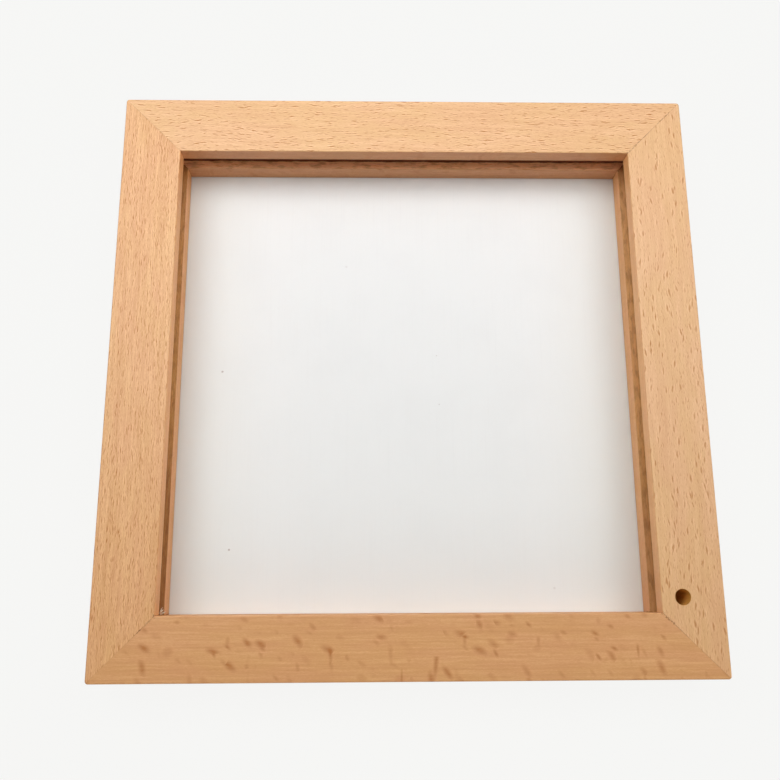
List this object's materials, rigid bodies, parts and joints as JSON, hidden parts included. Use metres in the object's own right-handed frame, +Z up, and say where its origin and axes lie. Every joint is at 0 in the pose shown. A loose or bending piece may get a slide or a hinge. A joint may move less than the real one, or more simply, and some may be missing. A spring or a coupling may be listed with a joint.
{
  "type": "screen printing frame",
  "caption": "Square mitred beech frame with white mesh stretched over its underside, a groove round the inner wall and a peg hole in one rail.",
  "frame": {"origin": "centre of the underside, on the surface the frame rests on", "axes": "+Z up, out of the open top face; +X towards the rail with the peg hole; +Y away from the user, so that the peg hole is near the -Y end of the +X rail"},
  "size_m": [0.3, 0.3, 0.0302],
  "materials": {
    "beech": "sanded, thin clear coat",
    "mesh": "fine white woven polyester",
    "cord": "three-strand laid cotton",
    "steel": "bright strip"
  },
  "bodies": {
    "root": {"far_rail": "beech", "near_rail": "beech", "left_rail": "beech", "right_rail": "beech", "mesh": "mesh", "far_cord": "cord", "near_cord": "cord", "left_cord": "cord", "right_cord": "cord", "v_nails": "steel"}
  },
  "joints": []
}
